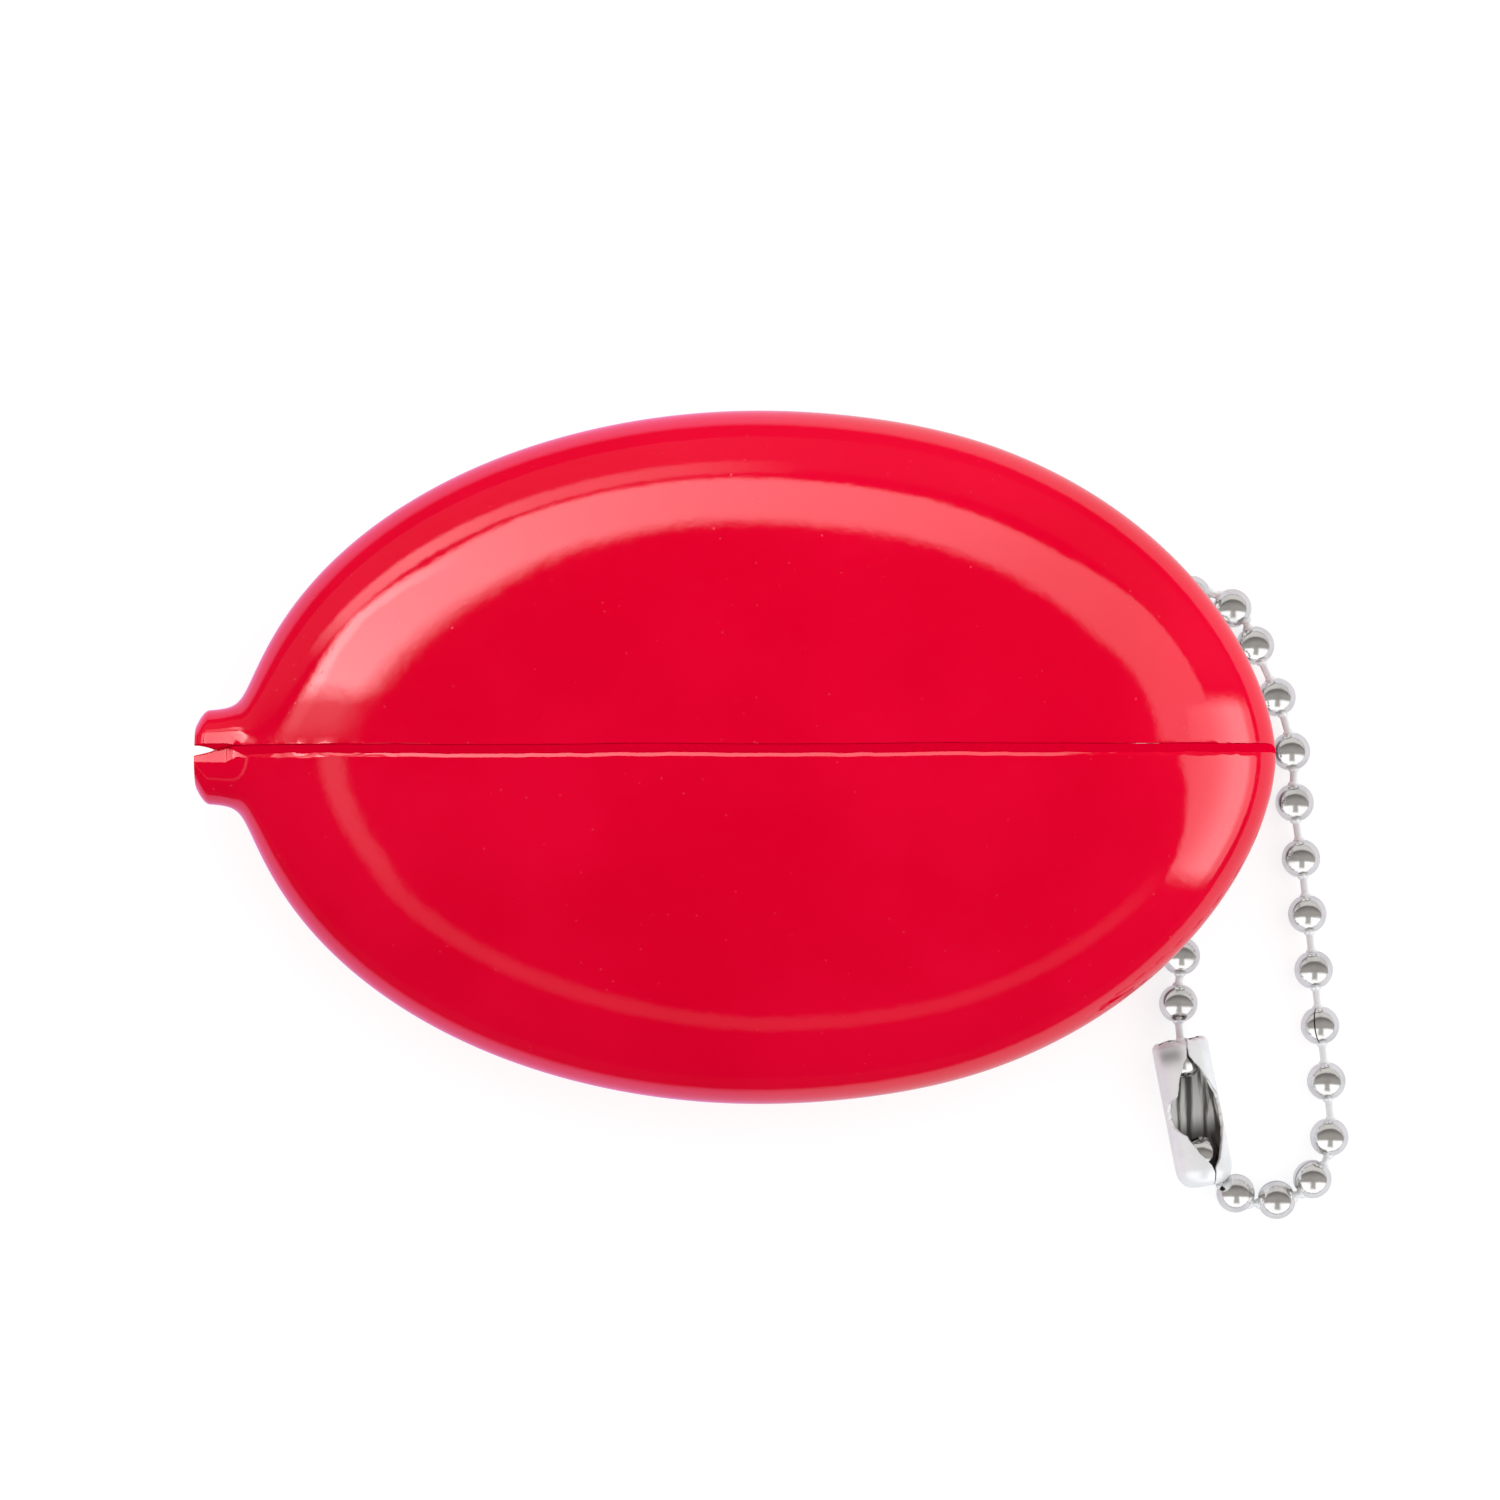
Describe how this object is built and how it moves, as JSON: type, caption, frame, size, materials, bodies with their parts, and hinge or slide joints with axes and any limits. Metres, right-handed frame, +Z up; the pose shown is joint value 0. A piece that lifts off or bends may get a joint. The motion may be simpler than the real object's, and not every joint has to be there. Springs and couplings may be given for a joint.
{
  "type": "squeeze coin purse",
  "caption": "Hollow oval coin purse of soft glossy vinyl that opens along a lengthwise slit when squeezed, with a short neck at one end and a looped bead chain at the other.",
  "frame": {"origin": "middle of the flat spot on the front that the purse rests on, on the table plane", "axes": "+X along the slit towards the chain end, +Y across the purse, +Z up out of the slit"},
  "size_m": [0.0889, 0.0623, 0.0216],
  "materials": {
    "vinyl": "high gloss soft vinyl",
    "plated": "bright nickel plate"
  },
  "bodies": {
    "purse": {"front_shell": "vinyl", "bead_01": "plated", "bead_25": "plated", "bead_26": "plated", "bead_27": "plated", "link_24": "plated", "link_25": "plated", "link_26": "plated"},
    "upper_lip": {"upper_lip": "vinyl"},
    "lower_lip": {"lower_lip": "vinyl"},
    "chain_near": {"bead_02": "plated", "bead_03": "plated", "bead_04": "plated", "bead_05": "plated", "bead_06": "plated", "bead_07": "plated", "bead_08": "plated", "bead_09": "plated", "bead_10": "plated", "bead_11": "plated", "link_01": "plated", "link_02": "plated", "link_03": "plated", "link_04": "plated", "link_05": "plated", "link_06": "plated", "link_07": "plated", "link_08": "plated", "link_09": "plated", "link_10": "plated", "bead_23": "plated", "bead_24": "plated", "link_22": "plated", "link_23": "plated"},
    "chain_fold_1": {"link_11": "plated", "bead_12": "plated", "link_21": "plated", "bead_22": "plated"},
    "chain_fold_2": {"link_12": "plated", "bead_13": "plated", "link_20": "plated", "bead_21": "plated"},
    "chain_fold_3": {"link_13": "plated", "bead_14": "plated", "link_14": "plated", "bead_15": "plated", "link_19": "plated", "bead_20": "plated", "chain_connector": "plated", "bead_19": "plated"},
    "chain_tip": {"link_15": "plated", "bead_16": "plated", "link_16": "plated", "bead_17": "plated", "link_17": "plated", "bead_18": "plated", "link_18": "plated"}
  },
  "joints": [
    {"name": "upper_lip_open", "type": "hinge", "parent": "purse", "child": "upper_lip", "pos_m": [0, 0.0265, 0.0106], "axis": [-1, 0, 0], "range_deg": [0, 30], "stiffness_Nm_per_rad": 0.2},
    {"name": "lower_lip_open", "type": "hinge", "parent": "purse", "child": "lower_lip", "pos_m": [0, -0.0265, 0.0106], "axis": [1, 0, 0], "range_deg": [0, 30], "stiffness_Nm_per_rad": 0.2},
    {"name": "chain_swing", "type": "hinge", "parent": "purse", "child": "chain_near", "pos_m": [0.03022, 0.00026, 0.00371], "axis": [0.344, -0.934, 0.0966], "range_deg": [0, 18]},
    {"name": "chain_bend_1", "type": "hinge", "parent": "chain_near", "child": "chain_fold_1", "pos_m": [0.03771, -0.01301, 0.0015], "axis": [-0.9938, 0.1109, 0.0008], "range_deg": [0, 25]},
    {"name": "chain_bend_2", "type": "hinge", "parent": "chain_fold_1", "child": "chain_fold_2", "pos_m": [0.03786, -0.01735, 0.00148], "axis": [-0.9948, 0.1014, -0.004], "range_deg": [0, 25]},
    {"name": "chain_bend_3", "type": "hinge", "parent": "chain_fold_2", "child": "chain_fold_3", "pos_m": [0.03805, -0.02135, 0.00158], "axis": [-0.9883, 0.1522, 0.0134], "range_deg": [0, 25]},
    {"name": "chain_bend_4", "type": "hinge", "parent": "chain_fold_3", "child": "chain_tip", "pos_m": [0.03947, -0.03151, 0.00176], "axis": [-0.9893, -0.1348, 0.0564], "range_deg": [0, 25]}
  ],
  "couplings": [
    {"joint": "lower_lip_open", "follows": "upper_lip_open", "ratio": 1}
  ]
}
